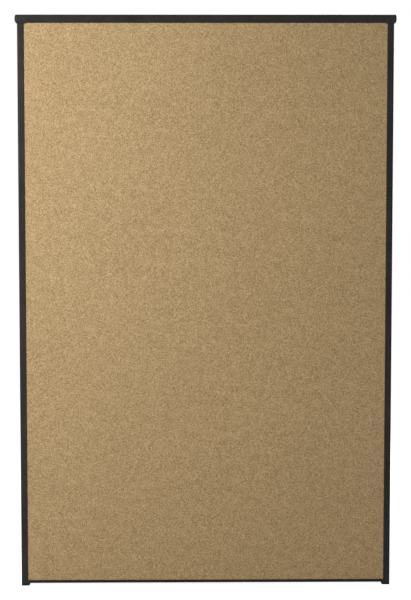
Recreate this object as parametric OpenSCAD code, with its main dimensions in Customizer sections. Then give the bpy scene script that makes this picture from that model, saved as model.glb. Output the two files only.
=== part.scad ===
// Upright fabric-faced divider panel, as used round a library study place.
// A welded tube frame with a core holds a tackboard and a fabric skin on each face.
// Channel trims close the sides, a capping closes the top, and two screw feet level it.
// The origin is on the floor under the middle of the panel: X is along it, Y through it.

/* [Panel] */
// Width over the two post trims
panel_w = 1067; // [700:1:1600]
// Height from the floor to the top of the cap, with the feet screwed in
panel_h = 1641; // [1000:1:2100]

/* [Frame] */
// Face width of the frame tubes
tube_w = 19; // [16:0.5:30]
// Depth of the frame tubes, front to back
tube_d = 25.4; // [22:0.1:40]
// Wall of the frame tubes
tube_wall = 1.5; // [1:0.1:2.5]
// Clearance all round each core block
core_gap = 0.5; // [0.2:0.1:0.9]

/* [Boards and fabric] */
// Thickness of each tackboard
board_t = 9.5; // [6:0.5:15]
// Thickness of each fabric skin
fabric_t = 1; // [0.6:0.1:2]

/* [Post trims] */
// Face width of each post trim
trim_w = 19; // [16:0.5:30]
// Wall of the post trims
trim_wall = 1.8; // [1.2:0.1:3]
// Rounding of the outer corners
trim_r = 5; // [2:0.5:8]
// Space between the trim's back wall and the frame, for the clips
clip_space = 4; // [3.4:0.1:8]
// Gap between the fabric and the inside of a trim
fabric_gap = 0.5; // [0.3:0.1:1.5]
// Spacing of the two grip ribs inside a trim, centre to centre
rib_spacing = 14; // [13:0.5:18]
// Thickness of a grip rib
rib_t = 1.5; // [1:0.1:2]

/* [Top cap] */
// Height of the cap
cap_h = 25; // [22:0.5:40]
// Most that the cap stands out past the posts, on every side
cap_overhang = 6.5; // [4:0.5:12]
// How far the cap's bulge draws in towards its top edge
cap_tuck = 2.3; // [1:0.1:4]
// Width of the eased edge round the top
cap_edge = 1.2; // [0.5:0.1:3]
// Rounding of the end caps' corners, seen from above
cap_corner_r = 8; // [4:0.5:14]
// Wall of the cap
cap_wall = 1.8; // [1.2:0.1:3]
// Thickness of the end caps' lower edge
cap_lip = 0.8; // [0.5:0.1:1.5]
// How much deeper the end caps' skirts hang than the cap's own sides
cap_skirt = 2.2; // [0:0.1:4]
// Length of a moulded end cap past the post's inner edge
cap_end_extra = 5; // [2:0.5:20]
// Length of the tongue that an end cap pushes into the cap
tongue_l = 15; // [8:1:30]
// Thickness of that tongue
tongue_t = 3; // [2:0.5:4]
// How far the panel reaches up into the cap
panel_in_cap = 8; // [5:0.5:12]

/* [Clips] */
// Number of cap clips
cap_clips_n = 5; // [3:1:9]
// Length of a cap clip along the panel
cap_clip_l = 40; // [20:1:80]
// Thickness of a cap clip
cap_clip_t = 2; // [1:0.1:3]
// Number of clips behind each post trim
trim_clips_n = 5; // [3:1:9]
// Height of a trim clip
trim_clip_h = 40; // [20:1:80]
// Sheet thickness of a trim clip
trim_clip_t = 1.2; // [0.8:0.1:1.5]

/* [Base] */
// Clear height under the base strip and the shoes
base_z = 6.8; // [5:0.1:15]
// Height of the base strip, up to the foot of the boards
strip_h = 8.7; // [6:0.1:20]
// Depth of the base strip, front to back
strip_d = 42; // [34:0.5:45]
// Wall of the base strip
strip_wall = 1.5; // [1:0.1:2]
// Lip turned in along each lower edge of the strip
strip_lip = 4; // [2:0.5:8]
// Height of the top edge of the post shoes
shoe_top = 23; // [20:0.5:40]
// How far a shoe and its foot reach in past the frame
shoe_lap = 0.7; // [0.3:0.1:8]
// Height of the tongue that a shoe pushes up into the trim
shoe_tongue_h = 15; // [8:1:30]

/* [Levelling feet] */
// Radius of the levelling screw
screw_r = 4; // [3:0.5:5]
// Height of the screw's upper end
screw_top = 50; // [46:1:80]
// Radial clearance of the screw in its nut
thread_gap = 0.05; // [0.02:0.01:0.1]
// Height of the nut block inside the post
nut_h = 24; // [18:1:40]
// Radius of the pivot at the screw's lower end
pivot_r = 3; // [2:0.1:3.5]
// Thickness of the pad below the pivot
pad_floor = 1.5; // [1:0.1:3]
// Height of the pivot in the pad
pivot_h = 1.9; // [1.5:0.1:3]
// Width across the flats of the screw's hexagon
hex_af = 13; // [11:0.5:14]
// Height of the hexagon
hex_h = 2.6; // [2:0.1:5]
// How far the inner side of the pad slopes in at its foot
pad_slope = 3; // [0:0.5:5]
// Gap between a pad and its shoe when screwed in
pad_gap = 0.3; // [0.2:0.1:1]

/* [Joining holes] */
// Height of the lower joining hole
join_z_low = 200; // [160:1:400]
// Depth of the upper joining hole below the top of the cap
join_drop = 191; // [160:1:400]
// Core radius of the threaded rivet nuts
join_r = 2.5; // [1.5:0.1:3]
// Radius of the rivet nut's body
rivet_r = 4.5; // [4:0.1:5]
// Length of the rivet nut's body
rivet_l = 12; // [8:0.5:14]
// Thickness of its flange
rivet_flange_t = 1; // [0.8:0.1:1.5]
// How far that flange stands out round the body
rivet_flange = 1.4; // [1:0.1:1.6]
// Radius of the hole through the trim
trim_hole_r = 4; // [3.2:0.1:4.5]

/* [Hidden] */
$fn = 64;
eps = 0.01;            // lap of two solids that are one piece
over = 1;              // overshoot of a cut past the face that it opens
fit = 0.3;             // clearance of a pushed or snapped fit
close_fit = 0.05;      // clearance of a fastener's shank
half_w = panel_w / 2;
skin_y = tube_d / 2 + board_t;                  // back of a fabric skin
face_y = skin_y + fabric_t;                     // outer face of a fabric skin
trim_d = 2 * (face_y + fabric_gap + trim_wall); // depth of a post trim
frame_x = trim_wall + clip_space;               // a stile's outer face, in from the post's
core_x = half_w - frame_x - tube_w;             // inner face of a stile
foot_w = frame_x + tube_w + shoe_lap;           // width of a shoe and of its pad
foot_x = frame_x + tube_w / 2;                  // levelling screw's axis, in from the post
board_z = base_z + strip_h;                     // foot of the boards, skins and frame
cap_z = panel_h - cap_h;                        // lower edge of the cap
board_top = cap_z + panel_in_cap;               // top of the boards, skins and frame
pad_top = base_z - pad_gap;
cap_seam = half_w - trim_w - cap_end_extra;     // joint of the cap and its end caps
cap_slot = trim_d / 2 + fit;                    // half the clear width between the lips
trim_top = panel_h - 2 * cap_wall;              // upper end of a post trim
shoe_base = board_z - base_z;
cap_half = trim_d / 2 + cap_overhang;           // half the depth of the cap
bulge_z = cap_h / 2;                            // widest place of the cap, below its top
cap_tuck_in = cap_overhang - fit - cap_lip;     // how far its sides curve in below that
upper_r = arc_radius(bulge_z, cap_tuck);
lower_r = arc_radius(bulge_z, cap_tuck_in);
// half the width of a cap clip, whose lower edges catch on the curve inside the cap
cap_clip_y = cap_half - lower_r - fit
    + sqrt(pow(lower_r - cap_wall, 2) - pow(bulge_z - panel_in_cap, 2));
head_h = 1.8;                                   // height of a pan head
head_r = 4;                                     // radius of a pan head
shank_r = 2;                                    // radius of the frame screws
shank_l = 12;                                   // length of the frame screws
board_screw_l = board_t + 4;                    // length of a board screw
board_head_h = 2.5;                             // depth of a countersunk head
recess_w = 1;                                   // width of a cross recess
screw_edge = 90;                                // end board screws, in from the floor and top
clip_edge = 80;                                 // end trim clips, past the joining holes
join_z_high = panel_h - join_drop;              // height of the upper joining hole
charcoal = [0.17, 0.165, 0.155];
black = [0.08, 0.08, 0.08];
tan = [0.72, 0.6, 0.42];
steel = [0.62, 0.63, 0.64];
kraft = [0.6, 0.5, 0.36];
fibreboard = [0.45, 0.38, 0.28];

// Radius, to a tenth of a millimetre, of an arc that leans over by lean in a height of rise.
function arc_radius(rise, lean) = round((rise * rise + lean * lean) / lean * 5) / 10;

cap_clip_x = [for (i = [0 : cap_clips_n - 1])
    (i / (cap_clips_n - 1) - 0.5) * (2 * core_x - 3 * cap_clip_l)];
trim_clip_z = [for (i = [0 : trim_clips_n - 1]) join_z_low - clip_edge
    + i / (trim_clips_n - 1) * (join_z_high - join_z_low + 2 * clip_edge)];
strip_screw_x = [for (i = [-1.5 : 1 : 1.5]) i * core_x / 2];
stile_screw_z = [for (i = [0 : 4]) screw_edge + i / 4 * (board_top - 2 * screw_edge)];
rail_z = [board_z + tube_w / 2, (board_z + board_top) / 2, board_top - tube_w / 2];
rail_screw_x = [-core_x / 2, 0, core_x / 2];
join_z = [join_z_low, join_z_high];

// ---- shapes that repeat ----

// A box given by its lowest and highest corners.
module block(low, high) {
    translate(low) cube(high - low);
}

// A round bar along X from x0 to x1.
module bar_x(x0, x1, r) {
    translate([x0, 0, 0]) rotate([0, 90, 0]) cylinder(h = x1 - x0, r = r);
}

// A pan-head screw pointing down, with its head's underside at the origin.
module pan_screw(length) {
    difference() {
        union() {
            cylinder(h = head_h, r = head_r);
            translate([0, 0, -length]) cylinder(h = length + eps, r = shank_r);
        }
        translate([0, 0, head_h]) {
            cube([recess_w, head_r, head_h], center = true);
            cube([head_r, recess_w, head_h], center = true);
        }
    }
}

// A countersunk screw pointing down, with the top of its head at the origin.
module flat_screw(length, grow = 0) {
    translate([0, 0, -board_head_h])
        cylinder(h = board_head_h, r1 = shank_r + grow, r2 = head_r + grow);
    translate([0, 0, -length]) cylinder(h = length - board_head_h + eps, r = shank_r + grow);
}

// Outline of the cap on one side of a centre line: y is the half width, z falls from 0.
// An upper arc bulges out, and a tighter one below it curves in to the lip.
module cap_outline(half, inset = 0) {
    edge_y = half - cap_tuck - cap_edge - inset / 2;
    // the flat middle, below the widest place
    translate([lower_r - half, -cap_h]) square([2 * (half - lower_r), cap_h - inset]);
    for (side = [0, 1]) mirror([side, 0]) {
        intersection() {
            translate([half - upper_r, -bulge_z]) circle(r = upper_r - inset);
            polygon([[0, -bulge_z], [half + over, -bulge_z],
                [half + over, edge_y - half - over - inset], [edge_y, -inset], [0, -inset]]);
        }
        intersection() {
            translate([half - lower_r, -bulge_z]) circle(r = lower_r - inset);
            translate([0, -cap_h]) square([half + over, bulge_z]);
        }
    }
}

// The cap's outline drawn out along X, from x0 to x1, at its place under the panel's top.
module cap_run(x0, x1, inset = 0) {
    translate([x0, 0, panel_h]) rotate([90, 0, 90])
        linear_extrude(x1 - x0) cap_outline(cap_half, inset);
}

// Plan of a post trim with its outer corners rounded: x runs in from the post's face.
module post_plan(width) {
    for (side = [-1, 1]) translate([trim_r, side * (trim_d / 2 - trim_r)])
        circle(r = trim_r);
    translate([0, trim_r - trim_d / 2]) square([trim_r, trim_d - 2 * trim_r]);
    translate([trim_r, -trim_d / 2]) square([width - trim_r, trim_d]);
}

// The same plan with its inner corners eased as well.
module eased_plan(width) {
    ease = trim_wall * 0.7;    // a fillet that the wall can hold
    difference() {
        post_plan(width);
        for (side = [-1, 1]) translate([width - ease, side * (trim_d / 2 - ease)])
            difference() {
                translate([0, side > 0 ? 0 : -ease - eps]) square(ease + eps);
                circle(r = ease);
            }
    }
}

// The hollow of a trim: back wall, clip space, frame, boards and fabric.
module post_hollow() {
    inner = trim_d / 2 - trim_wall;
    corner = trim_r - trim_wall;
    for (side = [-1, 1]) translate([trim_r, side * (inner - corner)])
        circle(r = corner);
    translate([trim_wall, corner - inner]) square([corner + eps, 2 * (inner - corner)]);
    translate([trim_r, -inner]) square([trim_w + over, 2 * inner]);
}

// Puts a left-hand piece, drawn from the post's outer face inwards, in its place.
module left() {
    translate([-half_w, 0, 0]) children();
}

// The same for the right-hand side.
module right() {
    mirror([1, 0, 0]) left() children();
}

// ---- top cap ----

module top_cap() {
    color(charcoal) difference() {
        cap_run(-cap_seam, cap_seam);
        cap_run(-cap_seam - over, cap_seam + over, cap_wall);
        block([-cap_seam - over, -cap_slot, cap_z - over],
            [cap_seam + over, cap_slot, panel_h - bulge_z]);
        // the sides stop short of the end caps' skirts
        block([-cap_seam - over, -cap_half, cap_z - over],
            [cap_seam + over, cap_half, cap_z + cap_skirt]);
    }
}

module cap_end() {
    outer = half_w + cap_overhang;
    tongue_x = trim_w + fit;
    tongue_y = cap_slot - cap_wall - fit;
    tongue_z = panel_h - cap_wall - fit;
    color(charcoal) difference() {
        union() {
            intersection() {
                translate([-cap_overhang, 0, 0]) cap_run(0, half_w - cap_seam + cap_overhang);
                translate([half_w, trim_d, panel_h]) rotate([90, 0, 0])
                    linear_extrude(2 * trim_d) cap_outline(outer);
                translate([-cap_overhang, 0, cap_z]) linear_extrude(cap_h) cap_plan();
            }
            // tongue that pushes into the cap
            block([tongue_x, -tongue_y, tongue_z - tongue_t],
                [half_w - cap_seam + tongue_l, tongue_y, tongue_z]);
        }
        // pocket over the post, and a lower one over the boards and the skins
        block([-fit, -cap_slot, cap_z - over], [tongue_x, cap_slot, trim_top + fit]);
        block([-fit, -cap_slot, cap_z - over],
            [half_w - cap_seam + eps, cap_slot, tongue_z - tongue_t]);
    }
}

// Plan of an end cap with round outer corners.
module cap_plan() {
    length = half_w - cap_seam + cap_overhang;
    for (side = [-1, 1]) translate([cap_corner_r, side * (cap_half - cap_corner_r)])
        circle(r = cap_corner_r);
    translate([0, cap_corner_r - cap_half])
        square([cap_corner_r, 2 * (cap_half - cap_corner_r)]);
    translate([cap_corner_r, -cap_half]) square([length - cap_corner_r, 2 * cap_half]);
}

module cap_clips() {
    color(steel) difference() {
        for (x = cap_clip_x) block([x - cap_clip_l / 2, -cap_clip_y, board_top],
            [x + cap_clip_l / 2, cap_clip_y, board_top + cap_clip_t]);
        cap_clip_holes();
    }
}

module cap_clip_holes() {
    for (x = cap_clip_x) translate([x, 0, board_top - tube_w / 2])
        cylinder(h = tube_w, r = shank_r + close_fit);
}

module cap_clip_screws() {
    color(steel) for (x = cap_clip_x) translate([x, 0, board_top + cap_clip_t])
        pan_screw(shank_l);
}

// ---- post trims ----

module post_trim() {
    color(charcoal) difference() {
        union() {
            translate([0, 0, shoe_top]) linear_extrude(trim_top - shoe_top)
                difference() {
                    eased_plan(trim_w);
                    post_hollow();
                }
            // grip ribs for the clips
            for (side = [-1, 1]) block([trim_wall - eps, side * rib_spacing / 2 - rib_t / 2,
                shoe_top], [frame_x - trim_clip_t - fit, side * rib_spacing / 2 + rib_t / 2,
                trim_top - cap_wall]);
        }
        for (z = join_z) translate([0, 0, z]) bar_x(-over, trim_wall + over, trim_hole_r);
    }
}

module trim_clips() {
    prong_y = (rib_spacing + rib_t) / 2 + fit;
    color(steel) for (z = trim_clip_z) difference() {
        translate([0, 0, z]) {
            block([frame_x - trim_clip_t, -prong_y - trim_clip_t, -trim_clip_h / 2],
                [frame_x, prong_y + trim_clip_t, trim_clip_h / 2]);
            for (side = [0, 1]) mirror([0, side, 0])
                block([trim_wall + fit, prong_y, -trim_clip_h / 2],
                    [frame_x, prong_y + trim_clip_t, trim_clip_h / 2]);
        }
        translate([0, 0, z]) bar_x(0, tube_w, shank_r + close_fit);
    }
}

module trim_clip_screws() {
    color(steel) {
        left() trim_screw_row();
        right() trim_screw_row();
    }
}

module trim_screw_row() {
    for (z = trim_clip_z) translate([frame_x - trim_clip_t, 0, z]) rotate([0, -90, 0])
        pan_screw(shank_l);
}

// ---- frame ----

module stile() {
    color(black) difference() {
        block([frame_x, -tube_d / 2, board_z], [frame_x + tube_w, tube_d / 2, board_top]);
        block([frame_x + tube_wall, tube_wall - tube_d / 2, board_z - over],
            [frame_x + tube_w - tube_wall, tube_d / 2 - tube_wall, board_top + over]);
        for (z = trim_clip_z) translate([frame_x, 0, z])
            bar_x(-over, tube_wall + over, shank_r + close_fit);
        for (z = join_z) translate([frame_x, 0, z])
            bar_x(-over, tube_wall + over, rivet_r + close_fit);
        for (z = stile_screw_z) translate([foot_x, 0, z]) screw_tunnel();
    }
}

// A hole right through a tube, for a board screw from each face.
module screw_tunnel() {
    rotate([90, 0, 0])
        cylinder(h = tube_d + 2 * over, r = shank_r + close_fit, center = true);
}

module rail(z, top_holes = false, bottom_holes = false) {
    color(black) difference() {
        block([-core_x, -tube_d / 2, z - tube_w / 2], [core_x, tube_d / 2, z + tube_w / 2]);
        block([-core_x - over, tube_wall - tube_d / 2, z - tube_w / 2 + tube_wall],
            [core_x + over, tube_d / 2 - tube_wall, z + tube_w / 2 - tube_wall]);
        for (x = rail_screw_x) translate([x, 0, z]) screw_tunnel();
        if (top_holes) cap_clip_holes();
        if (bottom_holes) strip_holes();
    }
}

module top_rail() { rail(rail_z[2], top_holes = true); }
module mid_rail() { rail(rail_z[1]); }
module bottom_rail() { rail(rail_z[0], bottom_holes = true); }

module core(z0, z1) {
    color(kraft) block(
        [core_gap - core_x, core_gap / 2 - tube_d / 2, z0 + tube_w / 2 + core_gap],
        [core_x - core_gap, tube_d / 2 - core_gap / 2, z1 - tube_w / 2 - core_gap]);
}

module core_upper() { core(rail_z[1], rail_z[2]); }
module core_lower() { core(rail_z[0], rail_z[1]); }

// ---- boards and fabric: drawn at the front, mirrored for the back ----

module tackboard() {
    color(fibreboard) difference() {
        block([frame_x - half_w, -skin_y, board_z], [half_w - frame_x, -tube_d / 2, board_top]);
        board_screw_places() flat_screw(skin_y, close_fit);
    }
}

module board_screw_places() {
    for (side = [-1, 1], z = stile_screw_z) translate([side * (half_w - foot_x), -skin_y, z])
        rotate([90, 0, 0]) children();
    for (x = rail_screw_x, z = rail_z) translate([x, -skin_y, z])
        rotate([90, 0, 0]) children();
}

module board_screws() {
    color(steel) board_screw_places() flat_screw(board_screw_l);
}

module fabric() {
    color(tan) block([frame_x - half_w, -face_y, board_z], [half_w - frame_x, -skin_y, board_top]);
}

module back() {
    mirror([0, 1, 0]) children();
}

// ---- base ----

module base_strip() {
    end_x = half_w - foot_w - fit;
    color(black) difference() {
        block([-end_x, -strip_d / 2, base_z], [end_x, strip_d / 2, board_z]);
        block([-end_x - over, strip_wall - strip_d / 2, base_z + strip_wall],
            [end_x + over, strip_d / 2 - strip_wall, board_z - strip_wall]);
        block([-end_x - over, strip_lip - strip_d / 2, base_z - over],
            [end_x + over, strip_d / 2 - strip_lip, base_z + strip_wall + over]);
        strip_holes();
    }
}

module strip_holes() {
    for (x = strip_screw_x) translate([x, 0, base_z])
        cylinder(h = strip_h + tube_wall + over, r = shank_r + close_fit);
}

module base_strip_screws() {
    color(steel) for (x = strip_screw_x) translate([x, 0, board_z - strip_wall])
        rotate([180, 0, 0]) pan_screw(shank_l);
}

module post_shoe() {
    color(charcoal) difference() {
        union() {
            // collar that carries on the post trim
            translate([0, 0, base_z]) linear_extrude(shoe_top - base_z)
                difference() {
                    eased_plan(trim_w);
                    post_hollow();
                }
            // block under the frame
            translate([0, 0, base_z]) linear_extrude(shoe_base) eased_plan(foot_w);
            // tongue between the trim's ribs
            block([trim_wall - eps, rib_t / 2 + fit - rib_spacing / 2, board_z - eps],
                [frame_x - fit, rib_spacing / 2 - rib_t / 2 - fit, shoe_top]);
            block([trim_wall + fit, rib_t / 2 + fit - rib_spacing / 2, board_z],
                [frame_x - fit, rib_spacing / 2 - rib_t / 2 - fit, shoe_top + shoe_tongue_h]);
        }
        translate([foot_x, 0, 0]) cylinder(h = board_z + over, r = screw_r + 2 * fit);
    }
}

module leveller_nut() {
    color(steel) difference() {
        block([frame_x + tube_wall + fit / 2, tube_wall + fit / 2 - tube_d / 2, board_z],
            [frame_x + tube_w - tube_wall - fit / 2, tube_d / 2 - tube_wall - fit / 2,
            board_z + nut_h]);
        translate([foot_x, 0, board_z - over])
            cylinder(h = nut_h + 2 * over, r = screw_r + thread_gap);
    }
}

module leveller_screw() {
    color(steel) translate([foot_x, 0, 0]) {
        translate([0, 0, pad_floor + thread_gap])
            cylinder(h = pivot_h + eps, r = pivot_r);
        translate([0, 0, pad_floor + thread_gap + pivot_h])
            cylinder(h = hex_h, r = hex_af / 2 / cos(30), $fn = 6);
        translate([0, 0, pad_floor + thread_gap + pivot_h + hex_h - eps])
            cylinder(h = screw_top - pad_floor - pivot_h - hex_h, r = screw_r);
    }
}

module foot_pad() {
    color(black) difference() {
        intersection() {
            linear_extrude(pad_top) eased_plan(foot_w);
            // the inner side slopes in towards the floor
            translate([0, trim_d, 0]) rotate([90, 0, 0]) linear_extrude(2 * trim_d)
                polygon([[0, 0], [foot_w - pad_slope, 0], [foot_w, pad_top], [0, pad_top]]);
        }
        translate([foot_x, 0, pad_floor]) cylinder(h = pad_top, r = pivot_r + thread_gap);
        translate([foot_x, 0, pad_floor + pivot_h - fit])
            cylinder(h = pad_top, r = hex_af / 2 / cos(30) + fit);
    }
}

module rivet_nuts() {
    color(steel) for (z = join_z) translate([0, 0, z]) difference() {
        union() {
            bar_x(frame_x - rivet_flange_t, frame_x, rivet_r + rivet_flange);
            bar_x(frame_x - eps, frame_x + rivet_l, rivet_r);
        }
        bar_x(frame_x - rivet_flange_t - over, frame_x + rivet_l + over, join_r);
    }
}

top_cap();
left() cap_end();  // cap_end_left
right() cap_end();  // cap_end_right
cap_clips();
cap_clip_screws();
left() post_trim();  // post_trim_left
right() post_trim();  // post_trim_right
left() trim_clips();  // trim_clips_left
right() trim_clips();  // trim_clips_right
trim_clip_screws();
left() stile();  // stile_left
right() stile();  // stile_right
top_rail();
mid_rail();
bottom_rail();
core_upper();
core_lower();
tackboard();  // tackboard_front
back() tackboard();  // tackboard_back
board_screws();  // board_screws_front
back() board_screws();  // board_screws_back
fabric();  // fabric_front
back() fabric();  // fabric_back
base_strip();
base_strip_screws();
left() post_shoe();  // post_shoe_left
right() post_shoe();  // post_shoe_right
left() leveller_nut();  // leveller_nut_left
right() leveller_nut();  // leveller_nut_right
left() leveller_screw();  // leveller_screw_left
right() leveller_screw();  // leveller_screw_right
left() foot_pad();  // foot_pad_left
right() foot_pad();  // foot_pad_right
left() rivet_nuts();  // rivet_nuts_left
right() rivet_nuts();  // rivet_nuts_right
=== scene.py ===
# %% [markdown]
# # A fabric-covered divider panel
# This lesson dresses a free-standing divider panel for a study carrel: two stretched
# fabric skins held in a dark frame, with a moulded cap on top and a levelling foot under
# each post. The frame, the posts and the feet come from the CAD model, already in place
# and at their real size in metres. What is left to make is everything that the eye reads
# as material: the cloth, the paint, the moulded grain, the threads of the screws.

# %% Load the CAD frame
import math

import bmesh
import bpy
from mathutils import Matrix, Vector, noise


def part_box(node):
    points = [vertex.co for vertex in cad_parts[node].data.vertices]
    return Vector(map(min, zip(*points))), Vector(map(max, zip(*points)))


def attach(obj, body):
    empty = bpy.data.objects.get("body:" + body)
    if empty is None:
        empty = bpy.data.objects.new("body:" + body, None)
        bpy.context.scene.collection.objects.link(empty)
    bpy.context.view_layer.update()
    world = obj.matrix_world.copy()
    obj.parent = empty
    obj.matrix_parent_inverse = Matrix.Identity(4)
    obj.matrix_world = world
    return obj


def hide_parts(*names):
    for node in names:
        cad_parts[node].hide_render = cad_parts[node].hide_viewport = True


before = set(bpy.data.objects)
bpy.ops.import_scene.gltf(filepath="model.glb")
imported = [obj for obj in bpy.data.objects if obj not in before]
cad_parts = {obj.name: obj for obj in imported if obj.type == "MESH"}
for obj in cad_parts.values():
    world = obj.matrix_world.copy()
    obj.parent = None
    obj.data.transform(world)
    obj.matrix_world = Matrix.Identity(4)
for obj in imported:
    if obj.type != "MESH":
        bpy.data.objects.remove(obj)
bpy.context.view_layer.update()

# %% [markdown]
# The cloth's place and the panel's top are read from the CAD nodes, and not measured twice. The
# boards carry the cloth, the two post trims and the cap hold its edges, and the base
# strip closes the bottom. X runs along the panel, Y through it, and Z is up.

# %% Places taken from the frame
MM = 0.001
board_low, board_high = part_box("tackboard_front")
cloth_face = -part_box("fabric_front")[0].y
panel_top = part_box("top_cap")[1].z
print("cloth face", round(cloth_face, 4), "m from the middle; panel top", round(panel_top, 4))

# %% [markdown]
# ## How a finish is built
# Every finish here is a small graph of nodes round one Principled shader, and a few short
# helpers keep the graphs readable. The first ones add a node, start a finish, join two
# nodes, do one sum, and put a finished object in the scene.

# %% Helpers that add and join
def add(material, kind, **values):
    """Adds a shader node; a value is put on the socket or the setting of that name."""
    node = material.node_tree.nodes.new("ShaderNode" + kind)
    for name, value in values.items():
        socket = node.inputs.get(name.replace("_", " "))
        if socket is None:
            setattr(node, name, value)
        elif isinstance(value, bpy.types.NodeSocket):
            material.node_tree.links.new(value, socket)
        else:
            socket.default_value = value
    return node


def new_finish(name):
    """An empty finish: the material and its Principled shader."""
    material = bpy.data.materials.new(name)
    material.use_nodes = True
    return material, material.node_tree.nodes["Principled BSDF"]


def feed(material, source, shader, socket):
    """Joins an output to one of the shader's sockets."""
    material.node_tree.links.new(source, shader.inputs[socket])


def combine(owner, operation, *values, kind="Math", result="Value"):
    """Does one sum, such as MULTIPLY, on outputs or on plain values."""
    node = add(owner, kind, operation=operation)
    for socket, value in zip(node.inputs, values):
        if isinstance(value, bpy.types.NodeSocket):
            owner.node_tree.links.new(value, socket)
        else:
            socket.default_value = value
    return node.outputs[result]


def put_in_scene(name, data):
    """A new object in the scene, made of a mesh, a lamp or a camera."""
    made = bpy.data.objects.new(name, data)
    bpy.context.scene.collection.objects.link(made)
    return made


print("helpers that add and join are ready")

# %% [markdown]
# The next ones make a noise and turn it into a colour or a number. Noises are laid over the
# object's own coordinates, because the CAD nodes sit at the origin: one unit of the texture
# is one metre of the real thing, and no unwrapping is needed.

# %% Helpers for noise and colour
NOISE_LOW, NOISE_HIGH = 0.3, 0.7


def place_on(material, stretch=(1, 1, 1)):
    """The object's own coordinates, squeezed by stretch so that a grain can run one way."""
    where = add(material, "TexCoord").outputs["Object"]
    return add(material, "Mapping", Vector=where, Scale=stretch).outputs["Vector"]


def grain(material, where, per_metre, detail=2.0, roughness=0.5):
    """A noise with per_metre lumps in each metre, as one number from 0 to 1."""
    made = add(material, "TexNoise", Vector=where, Scale=per_metre, Detail=detail,
               Roughness=roughness)
    return made.outputs["Fac"]


def ramp(material, value, *stops):
    """A colour or a brightness for each place along a value from 0 to 1."""
    node = add(material, "ValToRGB", Fac=value)
    marks = node.color_ramp.elements
    while len(marks) < len(stops):
        marks.new(0.5)
    for mark, (place, colour) in zip(marks, sorted(stops)):
        mark.position = place
        mark.color = (*colour, 1) if hasattr(colour, "__len__") else (colour,) * 3 + (1,)
    return node.outputs["Color"]


def spread(material, value, low, high):
    """A noise stretched to run from low to high; most of it lies between the two bounds."""
    return add(material, "MapRange", Value=value, From_Min=NOISE_LOW, From_Max=NOISE_HIGH,
               To_Min=low, To_Max=high).outputs["Result"]


def blend_colour(material, share, first, second, way="MIX"):
    """Mixes two colours; share is how much of the second one shows."""
    node = add(material, "Mix", data_type="RGBA", blend_type=way)
    for index, value in ((0, share), (6, first), (7, second)):
        if isinstance(value, bpy.types.NodeSocket):
            material.node_tree.links.new(value, node.inputs[index])
        else:
            node.inputs[index].default_value = (*value, 1) if index else value
    return node.outputs[2]


print("helpers for noise and colour are ready")

# %% [markdown]
# The last two make bumps and rubbed edges. An edge is found by comparing the flat face's
# own direction with a rounded one: they agree on the flats and part at a sharp corner.

# %% Helpers for bumps and edges
FLAT_BEND, WORN_BEND = 0.97, 0.75
WEAR_PER_METRE = 90


def relief(material, height, distance, strength=1.0, under=None):
    """Turns a height from 0 to 1 into bumps that are distance metres deep."""
    node = add(material, "Bump", Height=height, Distance=distance, Strength=strength)
    if under is not None:
        material.node_tree.links.new(under, node.inputs["Normal"])
    return node.outputs["Normal"]


def worn_edges(material, radius, where):
    """1 on sharp edges that hands and trolleys rub, 0 on the flats, broken up by a noise."""
    rounded = add(material, "Bevel", Radius=radius, samples=4).outputs["Normal"]
    flat = add(material, "NewGeometry").outputs["Normal"]
    bend = combine(material, "DOT_PRODUCT", rounded, flat, kind="VectorMath")
    edge = add(material, "MapRange", Value=bend, From_Min=FLAT_BEND, From_Max=WORN_BEND)
    patchy = spread(material, grain(material, where, WEAR_PER_METRE, 3), 0, 1)
    return combine(material, "MULTIPLY", edge.outputs["Result"], patchy)


print("helpers for bumps and edges are ready")

# %% [markdown]
# ## Charcoal plastic and painted steel
# The posts and the cap are extruded: a die leaves faint lines that run the whole length,
# so their noise is squeezed across the piece and left long along it. The cap ends and the
# shoes are moulded, and a mould is spark-eroded, so they have a fine even grain and no
# direction. All are near black, the extrusions with a little brown in them. They rub paler
# along their edges and catch a few specks of dust. One flat tone would make them look cut
# from paper, so the tone drifts a little everywhere, and the gloss drifts with it.

# %% One recipe for the dark parts
TONE_PER_METRE, GLOSS_PER_METRE, DUST_PER_METRE = 14, 45, 700
RUB_RADIUS = 0.9 * MM
LINE_DEPTH = 0.05 * MM


def dark_part(name, deep, pale, rub, pits, die_lines=None, gloss=(0.58, 0.74), shine=0.10):
    """A dark plastic or paint, with pits (how many a metre, how deep) and perhaps die lines
    (which way they run, how many a metre)."""
    material, shader = new_finish(name)
    where = place_on(material)
    tone = grain(material, where, TONE_PER_METRE, 4, 0.6)
    tone = ramp(material, tone, (0.32, deep), (0.68, pale))
    tone = blend_colour(material, worn_edges(material, RUB_RADIUS, where), tone, rub)
    dust = grain(material, where, DUST_PER_METRE, 1)
    tone = blend_colour(material, ramp(material, dust, (0.66, 0.0), (0.78, 0.35)), tone, rub)
    feed(material, tone, shader, "Base Color")
    clouds = grain(material, where, GLOSS_PER_METRE, 4, 0.65)
    feed(material, spread(material, clouds, *gloss), shader, "Roughness")
    height = None
    if die_lines:
        run, lines_per_metre = die_lines
        lines = grain(material, place_on(material, run), lines_per_metre, 3, 0.6)
        height = relief(material, lines, LINE_DEPTH, 0.7)
    pits_per_metre, pit_depth = pits
    height = relief(material, grain(material, where, pits_per_metre, 2, 0.7), pit_depth, 0.8,
                    height)
    feed(material, height, shader, "Normal")
    shader.inputs["Specular IOR Level"].default_value = shine
    return material


print("recipe for dark parts ready")

# %% [markdown]
# Each finish is kept under the name of the slot that it belongs to, for the dressing below.

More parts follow.
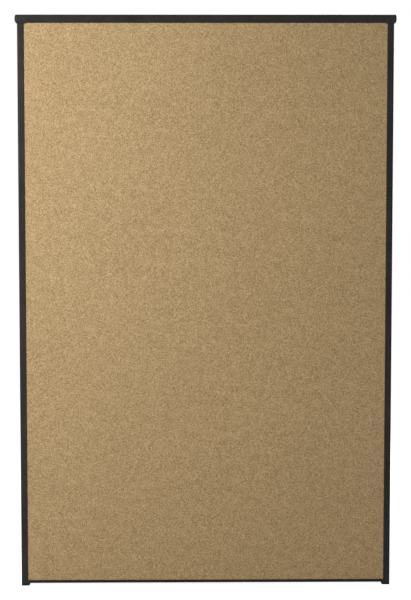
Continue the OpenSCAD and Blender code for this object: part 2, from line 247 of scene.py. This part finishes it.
# %% The dark finishes
ALONG_X, ALONG_Z = (0.01, 1, 1), (1, 1, 0.01)
RUBBED_EXTRUSION = (0.060, 0.056, 0.052)
FINE_PITS = (2600, 0.02 * MM)
finish_of = {
    "cap_extrusion": dark_part(
        "cap_finish", (0.0150, 0.0135, 0.0125), (0.0250, 0.0230, 0.0215), RUBBED_EXTRUSION,
        FINE_PITS, (ALONG_X, 900)),
    "trim_extrusion": dark_part(
        "post_finish", (0.0165, 0.0145, 0.0130), (0.0265, 0.0240, 0.0220), RUBBED_EXTRUSION,
        FINE_PITS, (ALONG_Z, 900)),
    "moulded_end": dark_part(
        "moulded_finish", (0.0170, 0.0170, 0.0155), (0.0270, 0.0270, 0.0245),
        (0.066, 0.064, 0.060), (1500, 0.05 * MM)),
    "foot_plastic": dark_part(
        "foot_finish", (0.0085, 0.0085, 0.0080), (0.0150, 0.0150, 0.0140),
        (0.045, 0.044, 0.042), (1100, 0.06 * MM), gloss=(0.62, 0.80), shine=0.08),
    "base_steel": dark_part(
        "strip_finish", (0.0130, 0.0096, 0.0064), (0.0230, 0.0178, 0.0124),
        (0.070, 0.062, 0.054), (900, 0.05 * MM), (ALONG_X, 500), gloss=(0.55, 0.70)),
    "frame_steel": dark_part(
        "frame_finish", (0.020, 0.020, 0.021), (0.036, 0.036, 0.037), (0.16, 0.155, 0.15),
        (420, 0.08 * MM), gloss=(0.40, 0.58), shine=0.4),
}
print("dark finishes:", len(finish_of))

# %% [markdown]
# ## Zinc on the small steel
# Screws, nuts and clips are electroplated. Plating is bright but not a mirror: it is
# cloudy from patch to patch, with a trace of yellow where it was passivated, and it
# carries fine tumbling scratches. A metal takes all its colour from what it reflects, so
# the drift goes mostly into the roughness.

# %% Zinc plating
ZINC_DULL, ZINC_BRIGHT = (0.50, 0.50, 0.48), (0.68, 0.66, 0.58)
SCRATCHES_PER_METRE, SCRATCH_DEPTH = 5200, 0.015 * MM
zinc_finish, zinc = new_finish("zinc_finish")
zinc.inputs["Metallic"].default_value = 1.0
zinc_where = place_on(zinc_finish)
cloudy = grain(zinc_finish, zinc_where, 120, 3)
plating = ramp(zinc_finish, cloudy, (0.35, ZINC_DULL), (0.65, ZINC_BRIGHT))
feed(zinc_finish, plating, zinc, "Base Color")
dulled = grain(zinc_finish, zinc_where, 300, 4, 0.7)
feed(zinc_finish, spread(zinc_finish, dulled, 0.24, 0.46), zinc, "Roughness")
scratches = grain(zinc_finish, place_on(zinc_finish, (1, 1, 0.12)), SCRATCHES_PER_METRE, 2)
feed(zinc_finish, relief(zinc_finish, scratches, SCRATCH_DEPTH, 0.6), zinc, "Normal")
print("zinc finish ready")

# %% [markdown]
# ## The boards and the core inside
# Nobody sees these once the panel is closed, but a part that is taken apart should not
# turn grey inside. The tackboard is pressed wood fibre: pale and dark fibres lying both
# ways in the plane of the board. The core is a kraft paper honeycomb, which shows as
# brown paper with cells about 19 mm across. The hollows of the cells carry painted shade,
# a darker brown, while the walls keep the paper's own colour.

# %% Pressed fibre
BOARD_DEEP, BOARD_PALE = (0.145, 0.105, 0.066), (0.285, 0.215, 0.145)
STRANDS_PER_METRE, LONG_STRAND = 420, 0.18
board_finish, board = new_finish("board_finish")
upright, level = [
    grain(board_finish, place_on(board_finish, stretch), STRANDS_PER_METRE, 3, 0.7)
    for stretch in ((1, 1, LONG_STRAND), (LONG_STRAND, 1, 1))]
strands = combine(board_finish, "MAXIMUM", upright, level)
board_tone = ramp(board_finish, strands, (0.42, BOARD_DEEP), (0.72, BOARD_PALE))
feed(board_finish, board_tone, board, "Base Color")
feed(board_finish, spread(board_finish, upright, 0.8, 0.95), board, "Roughness")
feed(board_finish, relief(board_finish, strands, 0.3 * MM, 0.7), board, "Normal")
print("board finish ready")

# %% Kraft honeycomb
CELL = 0.019
# The first colour is the paper's own brown on the cell walls; the second is painted shade, the
# dark of the shaded hollows.
CELL_WALL, CELL_HOLLOW_SHADE = (0.42, 0.30, 0.17), (0.16, 0.105, 0.055)
core_finish, core = new_finish("core_finish")
core_where = place_on(core_finish, (1, 0.001, 1))
cells = add(core_finish, "TexVoronoi", Vector=core_where, feature="DISTANCE_TO_EDGE",
            Scale=1 / CELL, Randomness=0.25).outputs["Distance"]
# Painted shade: the middle of each cell is darkened, standing in for the shade deep in its
# hollow.
core_tone = ramp(core_finish, cells, (0.02, CELL_WALL), (0.10, CELL_HOLLOW_SHADE))
feed(core_finish, core_tone, core, "Base Color")
paper = grain(core_finish, core_where, 300)
feed(core_finish, spread(core_finish, paper, 0.8, 0.95), core, "Roughness")
walls = ramp(core_finish, cells, (0.02, 1.0), (0.10, 0.0))
feed(core_finish, relief(core_finish, walls, 1.5 * MM), core, "Normal")
print("core finish ready, with cells of", CELL, "m")

# %% [markdown]
# ## Finishes go on the CAD nodes
# Each CAD node arrives with a plain material named after its slot in the record. Swapping
# that one material for the finish of the same slot dresses every node and moves nothing.

# %% Dress the CAD nodes
finish_of.update(zinc_steel=zinc_finish, core_fill=core_finish, tackboard=board_finish)
dressed = 0
for name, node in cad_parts.items():
    for place, material in enumerate(node.data.materials):
        if material.name in finish_of:
            node.material_slots[place].link = "OBJECT"
            node.material_slots[place].material = finish_of[material.name]
            dressed += 1
print("CAD nodes dressed:", dressed, "of", len(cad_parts))

# %% [markdown]
# ## The cloth itself
# Panel cloth of this kind is a heathered weave: yarns spun from several tans, so that the
# surface is a fine mottle of straw and brown, with a few dark slubs. It is made of noises
# and waves, so it stays sharp at any distance. Four things are laid over each other: a slow
# drift of tone over the width of the roll, the mottle of the yarns a few millimetres long,
# scattered dark slubs, and the plain weave itself, one thread over and one under, which is
# too fine to count from across a room but gives the surface its tooth.

# %% Colours of the yarn
STRAW, TAN, EARTH = (0.655, 0.464, 0.240), (0.470, 0.324, 0.160), (0.296, 0.196, 0.089)
SLUB = (0.150, 0.096, 0.045)
MOTTLE_PER_METRE, CLUMPS_PER_METRE, DRIFTS_PER_METRE, SLUBS_PER_METRE = 330, 42, 5, 95
CLUMP_SHARE = 0.14
cloth_finish, cloth = new_finish("cloth_finish")
cloth_where = place_on(cloth_finish)


def times(colour, brightness):
    """The cloth's colour multiplied by a brightness."""
    return blend_colour(cloth_finish, 1.0, colour, brightness, "MULTIPLY")


mottle = grain(cloth_finish, cloth_where, MOTTLE_PER_METRE, 2.5, 0.62)
clump = grain(cloth_finish, cloth_where, CLUMPS_PER_METRE)
uneven = combine(cloth_finish, "MULTIPLY_ADD", clump, CLUMP_SHARE, mottle)
yarn = ramp(cloth_finish, uneven, (0.40, EARTH), (0.57, TAN), (0.74, STRAW))
drift = grain(cloth_finish, cloth_where, DRIFTS_PER_METRE, 3)
yarn = times(yarn, ramp(cloth_finish, drift, (0.3, 0.955), (0.7, 1.0)))
slub_cells = add(cloth_finish, "TexVoronoi", Vector=cloth_where, Scale=SLUBS_PER_METRE)
slub_spot = ramp(cloth_finish, slub_cells.outputs["Distance"], (0.10, 1.0), (0.26, 0.0))
slub_pick = ramp(cloth_finish, slub_cells.outputs["Color"], (0.30, 1.0), (0.36, 0.0))
yarn = blend_colour(cloth_finish, times(slub_spot, slub_pick), yarn, SLUB)
print("yarn colours:", STRAW, TAN, EARTH)

# %% [markdown]
# The plain weave is two sets of ridges at right angles. Each ridge dips where the other
# set crosses over it, which a product of two sines gives directly: positive where the warp
# is on top, negative where the weft is. Its height feeds the bumps, and a little of it feeds
# the colour as painted shade: the gaps between the threads are darkened, standing in for
# the shade that falls between them.

# %% The over-and-under of the threads
THREAD = 1.25 * MM


def wave(material, where, axis, length):
    """A sine along one axis of the coordinates, with that wavelength in metres."""
    along = add(material, "SeparateXYZ", Vector=where).outputs[axis]
    return combine(material, "SINE", combine(material, "MULTIPLY", along, 2 * math.pi / length))


across, up = [wave(cloth_finish, cloth_where, axis, 2 * THREAD) for axis in ("X", "Z")]
crossing = combine(cloth_finish, "MULTIPLY", across, up)
crown = combine(cloth_finish, "ABSOLUTE", crossing)
# Painted shade: the gaps between the threads are darkened to 0.7 of the yarn's tone.
yarn = times(yarn, ramp(cloth_finish, crown, (0.0, 0.70), (0.35, 1.0)))
on_top = spread(cloth_finish, crossing, 0.25, 0.75)
yarn = times(yarn, ramp(cloth_finish, on_top, (0.0, 0.93), (1.0, 1.0)))
print("threads in a metre:", round(1 / THREAD))

# %% [markdown]
# A heathered yarn changes colour every few fibres, so no two crossings of the weave have
# quite the same tone. Rounding the coordinates down to whole threads gives every crossing
# one address, and a white noise looked up at that address gives it one tone of its own.

# %% One tone for each crossing
flat_where = place_on(cloth_finish, (1, 0, 1))
address = combine(cloth_finish, "SNAP", flat_where, (THREAD,) * 3, kind="VectorMath",
                  result="Vector")
own_tone = add(cloth_finish, "TexWhiteNoise", Vector=address).outputs["Value"]
yarn = times(yarn, ramp(cloth_finish, own_tone, (0.0, 0.80), (0.5, 1.0), (1.0, 1.0)))
print("one tone for each crossing,", round(THREAD / MM, 2), "mm apart")

# %% [markdown]
# The tones go to the shader's colour. The crowns of the threads and the fuzz of the yarns
# make two layers of bumps, and a little sheen stands for the loose fibres on top.

# %% The cloth's surface
THREAD_RELIEF, FUZZ_RELIEF = 0.22 * MM, 0.45 * MM
feed(cloth_finish, yarn, cloth, "Base Color")
feed(cloth_finish, spread(cloth_finish, mottle, 0.78, 0.95), cloth, "Roughness")
threads = relief(cloth_finish, crown, THREAD_RELIEF, 0.7)
feed(cloth_finish, relief(cloth_finish, mottle, FUZZ_RELIEF, 0.6, threads), cloth, "Normal")
cloth.inputs["Specular IOR Level"].default_value = 0.15
cloth.inputs["Sheen Weight"].default_value = 0.08
cloth.inputs["Sheen Roughness"].default_value = 0.5
print("weave of", round(THREAD / MM, 2), "mm threads ready")

# %% [markdown]
# ## A skin of cloth, stretched over its board
# Each skin is one piece of cloth pulled tight over a tackboard and turned round the
# board's two long edges, where the posts hide it. Top and bottom it ends in a rounded
# edge, level with the board. Cloth on a frame is never truly flat, so the sheet is a fine
# net of points that can be moved one by one: it is slack by a fraction of a millimetre in
# the middle, and the fibres under it print through. The border is built as rings that roll
# from the face round the board's edge. Rings were chosen over bending a flat net, because
# the corners then come out closed and even, with no crumpled faces.

# %% Sizes of a skin
NET = 7 * MM
ROLL = 1.0 * MM
ROLL_STEPS = 4
TURN_IN = 9 * MM
CLOTH_T = 0.85 * MM
BOARD_GAP = 0.05 * MM
SLACK, SLACKS_PER_METRE = 0.16 * MM, 3
PRINT_THROUGH, PRINTS_PER_METRE = 0.05 * MM, 45
FADE = 25 * MM
flat_half_x = board_high.x + CLOTH_T + BOARD_GAP - ROLL
flat_low_z, flat_high_z = board_low.z + ROLL, board_high.z - ROLL
print("flat face", round(2 * flat_half_x, 4), "by", round(flat_high_z - flat_low_z, 4))


# %% Points of the face
def steps_between(start, end, step):
    """Evenly spaced values from start to end, about a step apart."""
    count = max(1, round((end - start) / step))
    return [start + (end - start) * i / count for i in range(count + 1)]


def ripple(x, z, per_metre, seed):
    """A seeded noise from 0 to 2 at a point of the face."""
    return noise.noise(Vector((x * per_metre, seed, z * per_metre))) + 1


def proud(x, z, seed):
    """How far the cloth stands out from its tight plane at a point of the face."""
    margin = min(flat_half_x - abs(x), z - flat_low_z, flat_high_z - z)
    share = max(0.0, min(1.0, margin / FADE))
    slack = SLACK * ripple(x, z, SLACKS_PER_METRE, seed)
    print_through = PRINT_THROUGH * ripple(x, z, PRINTS_PER_METRE, seed)
    return share * share * (3 - 2 * share) * (slack + print_through) / 2


print("most that the cloth stands proud, mm:", round((SLACK + PRINT_THROUGH) / MM, 2))


# %% Rings round the border
def outward(i, j, last_i, last_j):
    """Which way the border faces at a point of the net's outline: one way, or two at a corner."""
    ways = []
    if i in (0, last_i):
        ways.append((-1.0 if i == 0 else 1.0, 0.0))
    if j in (0, last_j):
        ways.append((0.0, -1.0 if j == 0 else 1.0))
    return ways


def outline_of(last_i, last_j):
    """The net's outer points, once round, seen from the face."""
    bottom, right = [(i, 0) for i in range(last_i)], [(last_i, j) for j in range(last_j)]
    top = [(i, last_j) for i in range(last_i, 0, -1)]
    left = [(0, j) for j in range(last_j, 0, -1)]
    return bottom + right + top + left


def fan(ways, last_way):
    """The directions of one border point: a corner gets a quarter turn of them."""
    if len(ways) == 1:
        return ways
    start, end = (ways if last_way == ways[0] else ways[::-1])
    made = []
    for step in range(ROLL_STEPS + 1):
        angle = math.pi / 2 * step / ROLL_STEPS
        made.append((start[0] * math.cos(angle) + end[0] * math.sin(angle),
                     start[1] * math.cos(angle) + end[1] * math.sin(angle)))
    return made


print("border rings:", ROLL_STEPS + 1)


# %% Build one skin
def make_skin(name, side, seed):
    """The net of one skin with its border; side is -1 at the panel's front and 1 at its back."""
    columns = steps_between(-flat_half_x, flat_half_x, NET)
    rows = steps_between(flat_low_z, flat_high_z, NET)
    last_i, last_j = len(columns) - 1, len(rows) - 1
    points, index = [], {}
    for i, x in enumerate(columns):
        for j, z in enumerate(rows):
            index[i, j] = len(points)
            points.append((x, side * (cloth_face + proud(x, z, seed)), z))
    faces = [(index[i, j], index[i + 1, j], index[i + 1, j + 1], index[i, j + 1])
             for i in range(last_i) for j in range(last_j)]
    spokes, last_way = [], (-1.0, 0.0)
    for i, j in outline_of(last_i, last_j):
        ways = fan(outward(i, j, last_i, last_j), last_way)
        last_way = tuple(round(part) for part in ways[-1])
        spokes += [((i, j), way) for way in ways]
    previous = [index[corner] for corner, way in spokes]
    for step in range(1, ROLL_STEPS + 2):
        angle = min(step, ROLL_STEPS) / ROLL_STEPS * math.pi / 2
        ring = []
        for (i, j), (out_x, out_z) in spokes:
            turned_in = TURN_IN * abs(out_x) if step > ROLL_STEPS else 0
            back = ROLL * (1 - math.cos(angle)) + turned_in
            reach = ROLL * math.sin(angle)
            ring.append(len(points))
            points.append((columns[i] + out_x * reach, side * (cloth_face - back),
                           rows[j] + out_z * reach))
        for a in range(len(spokes)):
            b = (a + 1) % len(spokes)
            corners = [previous[a], ring[a], ring[b], previous[b]]
            if corners[0] == corners[3]:
                corners.pop()
            if step <= ROLL_STEPS or abs(spokes[a][1][0]) + abs(spokes[b][1][0]) > 0:
                faces.append(tuple(corners))
        previous = ring
    mesh = bpy.data.meshes.new(name)
    mesh.from_pydata(points, [], faces if side < 0 else [face[::-1] for face in faces])
    mesh.validate()
    return put_in_scene(name, mesh)


print("skin builder ready")

# %% [markdown]
# The net has no thickness yet. A Solidify modifier adds the cloth's 0.85 mm on the inner
# side, and it is applied at once, so that the finished sheet is a plain mesh that can be
# measured. Each skin rides on the panel and stands for the plain CAD slab of the same name.
# It takes in the face, the rolls and the turned-in edges.

# %% Both skins
def drop_loose_points(skin):
    """Drops the points that no face uses and says how many there were."""
    work = bmesh.new()
    work.from_mesh(skin.data)
    loose = [point for point in work.verts if not point.link_faces]
    bmesh.ops.delete(work, geom=loose, context="VERTS")
    bmesh.ops.recalc_face_normals(work, faces=work.faces)
    work.to_mesh(skin.data)
    work.free()
    return len(loose)


def thicken(skin, amount):
    """Gives a sheet its thickness on the inner side and keeps the result."""
    solid = skin.modifiers.new("thickness", "SOLIDIFY")
    solid.thickness = amount
    solid.offset = -1
    bpy.context.view_layer.update()
    finished = skin.evaluated_get(bpy.context.evaluated_depsgraph_get())
    thick_mesh = bpy.data.meshes.new_from_object(finished)
    skin.modifiers.clear()
    skin.data = thick_mesh
    skin.data.shade_smooth()


for side, place, seed in ((-1, "front", 3.7), (1, "back", 11.3)):
    skin = make_skin("cloth_" + place, side, seed)
    removed = drop_loose_points(skin)
    thicken(skin, CLOTH_T)
    skin.data.materials.clear()
    skin.data.materials.append(cloth_finish)
    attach(skin, "panel")
    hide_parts("fabric_" + place)
    print(skin.name, "points", len(skin.data.vertices), "faces", len(skin.data.polygons),
          "loose", removed)

# %% [markdown]
# ## Levelling screws with a real thread
# A levelling foot is an M8 screw with a hexagon for the spanner and a short pivot that
# turns in the plastic pad. In the CAD model it is a plain rod, which is right for its fit in
# the nut but looks wrong when the foot is wound down and the rod shows. Here it is turned
# again as one closed skin: rows of points up the axis, where each point's distance from
# the axis depends on its height and its angle. A thread is then one line of sums, because
# its depth only depends on height less angle, and so is the hexagon.

# %% Shape of the screw
PITCH = 1.25 * MM
CREST, ROOT = 3.98 * MM, 3.38 * MM
FLANK, FLANK_FOOT = 2.6, 0.15
PIVOT_R, PIVOT_H = 2.95 * MM, 1.9 * MM
HEX_H = 2.6 * MM
EASE = 0.35 * MM
RUN_OUT = 0.6 * MM
TIP = 0.3 * MM
AROUND = 48
ROWS_PER_TURN = 8


def round_rod(radius):
    """A radius that is the same at every angle."""
    return lambda angle: radius


def hexagon(flats):
    """A hexagon that is that far across its flats, with corners on the X axis."""
    def reach(angle):
        from_flat = (angle % (math.pi / 3)) - math.pi / 6
        return flats / 2 / math.cos(from_flat)
    return reach


def thread(height):
    """The thread at one height: crests and roots with sloping flanks between them."""
    def reach(angle):
        turn = (height / PITCH - angle / (2 * math.pi)) % 1.0
        slope = min(1.0, max(0.0, FLANK * abs(turn - 0.5) - FLANK_FOOT))
        return ROOT + (CREST - ROOT) * slope
    return reach


print("thread pitch", PITCH / MM, "mm, right-handed")


# %% Turn a screw
def make_screw(name, node, body):
    """Turns one levelling screw on the axis of its CAD node."""
    low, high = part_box(node)
    axis_x, flats = (low.x + high.x) / 2, high.y - low.y
    hex_z = low.z + PIVOT_H
    rod_z = low.z + PIVOT_H + HEX_H
    rows = [(low.z, round_rod(PIVOT_R - EASE)), (low.z + EASE, round_rod(PIVOT_R)),
            (hex_z, round_rod(PIVOT_R)), (hex_z, hexagon(flats - 2 * EASE)),
            (hex_z + EASE, hexagon(flats)), (rod_z - EASE, hexagon(flats)),
            (rod_z, hexagon(flats - 2 * EASE)), (rod_z, round_rod(ROOT))]
    start, end = rod_z + RUN_OUT, high.z - RUN_OUT
    count = round((end - start) / PITCH * ROWS_PER_TURN)
    heights = [start + (end - start) * i / count for i in range(count + 1)]
    rows += [(height, thread(height)) for height in heights]
    rows += [(high.z - TIP, round_rod(ROOT)), (high.z, round_rod(ROOT - EASE))]
    points = [(axis_x, 0, low.z)]
    for height, reach in rows:
        for k in range(AROUND):
            angle = 2 * math.pi * k / AROUND
            radius = reach(angle)
            points.append((axis_x + radius * math.cos(angle), radius * math.sin(angle), height))
    points.append((axis_x, 0, high.z))
    top, last = len(points) - 1, 1 + (len(rows) - 1) * AROUND
    faces = []
    for k in range(AROUND):
        beside = (k + 1) % AROUND
        faces.append((0, 1 + beside, 1 + k))
        for row in range(1, last, AROUND):
            above = row + AROUND
            faces.append((row + k, row + beside, above + beside, above + k))
        faces.append((last + k, last + beside, top))
    mesh = bpy.data.meshes.new(name)
    mesh.from_pydata(points, [], faces)
    mesh.validate()
    mesh.materials.append(zinc_finish)
    screw = put_in_scene(name, mesh)
    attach(screw, body)
    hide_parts(node)
    print(name, "rows", len(rows), "faces", len(faces))


for hand in ("left", "right"):
    make_screw("threaded_screw_" + hand, "leveller_screw_" + hand, hand + "_screw")

# %% [markdown]
# ## Floor, sky and lamps
# The panel stands on a plain pale floor in a white room. The white is a glow that only the
# camera and mirror-like surfaces see, and it lights nothing, so the tones on the cloth stay
# as they are written. The key lamp is a large soft square, high on the left and fairly
# close, so the cloth is brightest at the top left and falls away to the lower right. A
# second lamp does the same for the back.

# %% A glow that lights nothing
def seen_directly(owner, share):
    """share for rays from the camera, from gloss and through glass; 0 for all other light."""
    path = add(owner, "LightPath")
    total = path.outputs["Is Camera Ray"]
    for other in ("Is Glossy Ray", "Is Transmission Ray"):
        total = combine(owner, "MAXIMUM", total, path.outputs[other])
    return combine(owner, "MULTIPLY", total, share)


print("glow helper ready")

# %% Floor
FLOOR_HALF = 14.0
FLOOR_PALE = (0.62, 0.62, 0.62)
FLOOR_LIFT = 0.92
floor_corners = [(-FLOOR_HALF, -FLOOR_HALF, 0), (FLOOR_HALF, -FLOOR_HALF, 0),
                 (FLOOR_HALF, FLOOR_HALF, 0), (-FLOOR_HALF, FLOOR_HALF, 0)]
floor_mesh = bpy.data.meshes.new("floor")
floor_mesh.from_pydata(floor_corners, [], [(0, 1, 2, 3)])
floor = put_in_scene("floor", floor_mesh)
floor_finish, floor_shader = new_finish("floor_finish")
floor_shader.inputs["Base Color"].default_value = (*FLOOR_PALE, 1)
floor_shader.inputs["Roughness"].default_value = 0.9
floor_shader.inputs["Specular IOR Level"].default_value = 0.0
floor_shader.inputs["Emission Color"].default_value = (1, 1, 1, 1)
feed(floor_finish, seen_directly(floor_finish, FLOOR_LIFT), floor_shader, "Emission Strength")
floor_mesh.materials.append(floor_finish)
print("floor", 2 * FLOOR_HALF, "m across")

# %% Sky
AMBIENT = 0.13
world = bpy.data.worlds.new("room")
world.use_nodes = True
bpy.context.scene.world = world
sky = world.node_tree.nodes["Background"]
sky.inputs["Color"].default_value = (1, 1, 1, 1)
feed(world, combine(world, "MAXIMUM", seen_directly(world, 1.0), AMBIENT), sky, "Strength")
print("ambient light", AMBIENT)

# %% Lamps
KEY_PLACE, KEY_SIZE, KEY_WATTS = (-1.55, -1.9, 1.78), 0.8, 74.5
BACK_PLACE, BACK_SIZE, BACK_WATTS = (1.25, 2.2, 1.50), 0.9, 55
LAMPS = {"key_lamp": (KEY_PLACE, KEY_SIZE, KEY_WATTS),
         "back_lamp": (BACK_PLACE, BACK_SIZE, BACK_WATTS)}
MIDDLE = (0, 0, panel_top / 2)


def turned_to(place, aim):
    """The turn that points a lamp or a camera from a place at an aim."""
    return (Vector(aim) - Vector(place)).to_track_quat("-Z", "Y").to_euler()


for name, (place, size, watts) in LAMPS.items():
    lamp_data = bpy.data.lights.new(name, "AREA")
    lamp_data.size, lamp_data.energy = size, watts
    lamp = put_in_scene(name, lamp_data)
    lamp.location = place
    lamp.rotation_euler = turned_to(place, MIDDLE)
print("lamps:", len(LAMPS))

# %% [markdown]
# ## Camera
# The panel is seen almost straight on, from just under the height of its cap and a little
# to the left, through a long lens from over six metres away. A long lens keeps the posts
# nearly parallel; they lean in by a hair towards the floor because the camera looks
# slightly down. View transform Standard keeps the colours as they are written.

# %% Camera
EYE = Vector((-0.100, -6.400, 1.490))
AIM = Vector((-0.0005, 0, 0.8282))
LENS = 134.4
camera_data = bpy.data.cameras.new("camera")
camera_data.lens = LENS
camera = put_in_scene("camera", camera_data)
camera.location = EYE
camera.rotation_euler = turned_to(EYE, AIM)
bpy.context.scene.camera = camera
bpy.context.scene.view_settings.view_transform = "Standard"
print("camera", round((AIM - EYE).length, 3), "m from the panel")
